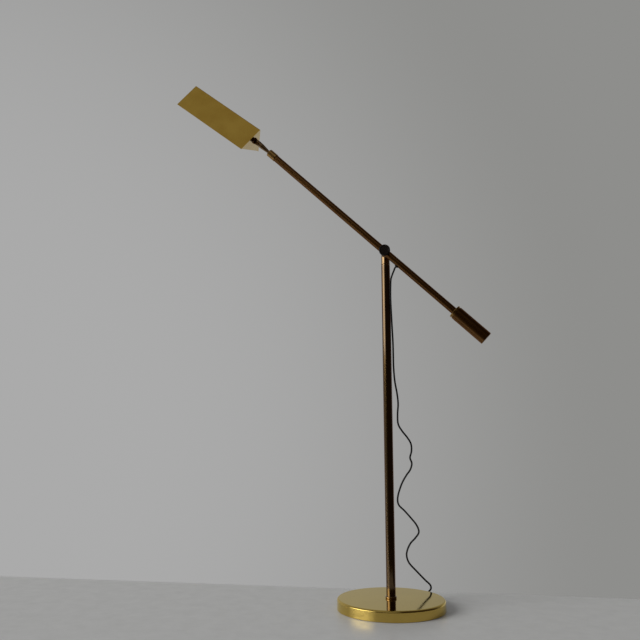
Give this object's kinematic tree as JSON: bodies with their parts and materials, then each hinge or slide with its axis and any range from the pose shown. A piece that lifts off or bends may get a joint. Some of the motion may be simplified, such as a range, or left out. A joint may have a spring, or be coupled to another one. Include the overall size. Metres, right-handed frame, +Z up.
{
  "type": "floor reading lamp",
  "caption": "Brass floor lamp with a round weighted base, slim pole, counterweighted arm that swivels and tilts, and a folded tent-shaped shade on a knuckle.",
  "frame": {"origin": "on the floor, under the middle of the base", "axes": "+Z up along the pole, -X towards the shade's side, -Y towards the front, where the tension knob is"},
  "size_m": [0.8058, 0.3202, 1.3458],
  "materials": {
    "polished_brass": "polished",
    "satin_brass": "satin",
    "aged_brass": "polished, darkened",
    "iron": "rough cast",
    "steel": "plated",
    "felt": "felt",
    "black_plastic": "moulded",
    "fibre": "pressed fibre",
    "rubber": "smooth",
    "tie": "woven",
    "bulb": "frosted"
  },
  "bodies": {
    "stand": {"base_cover": "polished_brass", "base_weight": "iron", "base_felt": "felt", "base_rod": "steel", "base_washer": "steel", "base_nut": "steel", "foot_ring": "polished_brass", "pole_foot_plug": "aged_brass", "pole_tube": "aged_brass", "pole_top_plug": "aged_brass", "cord_hang": "rubber", "cord_coil": "rubber", "coil_tie": "tie", "cord_tail": "rubber", "plug_body": "black_plastic", "plug_blades": "polished_brass"},
    "head": {"swivel_head": "aged_brass", "swivel_stop_screw": "steel", "pivot_bolt": "steel", "cord_drop": "rubber"},
    "tension_knob": {"pivot_knob": "black_plastic"},
    "arm": {"arm_tube": "aged_brass", "arm_bush": "aged_brass", "friction_washers": "fibre", "counterweight": "aged_brass", "counterweight_ring": "aged_brass", "counterweight_screw": "steel", "arm_collar": "polished_brass", "cord_grommet": "rubber", "cord_exit": "rubber"},
    "neck": {"neck": "aged_brass", "neck_nut": "steel", "knuckle_screw": "aged_brass", "knuckle_nut": "aged_brass"},
    "shade": {"shade_lug": "aged_brass", "shade_shell": "satin_brass", "shade_end_near": "satin_brass", "shade_end_far": "satin_brass", "stub_nut": "steel", "bulb_socket": "black_plastic", "bulb_cap": "polished_brass", "bulb_glass": "bulb"},
    "switch": {"switch_knob": "black_plastic"}
  },
  "joints": [
    {"name": "head_swivel", "type": "hinge", "parent": "stand", "child": "head", "pos_m": [0, 0, 0.838], "axis": [0, 0, 1], "range_deg": [-160, 160]},
    {"name": "tension_knob_turn", "type": "hinge", "parent": "head", "child": "tension_knob", "pos_m": [0, -0.0375, 0.8563], "axis": [0, -1, 0], "range_deg": [0, 180]},
    {"name": "arm_tilt", "type": "hinge", "parent": "head", "child": "arm", "pos_m": [0, -0.022, 0.8563], "axis": [0, 1, 0], "range_deg": [-62, 18]},
    {"name": "shade_roll", "type": "hinge", "parent": "arm", "child": "neck", "pos_m": [-0.29912, -0.022, 1.13817], "axis": [-0.7278, 0, 0.6858], "range_deg": [-150, 150]},
    {"name": "shade_tilt", "type": "hinge", "parent": "neck", "child": "shade", "pos_m": [-0.33099, -0.022, 1.16821], "axis": [-0.2877, -0.9078, -0.3053], "range_deg": [-50, 60]},
    {"name": "switch_turn", "type": "hinge", "parent": "shade", "child": "switch", "pos_m": [-0.35647, -0.02069, 1.18834], "axis": [0.556, 0.489, 0.6721], "continuous": true}
  ]
}
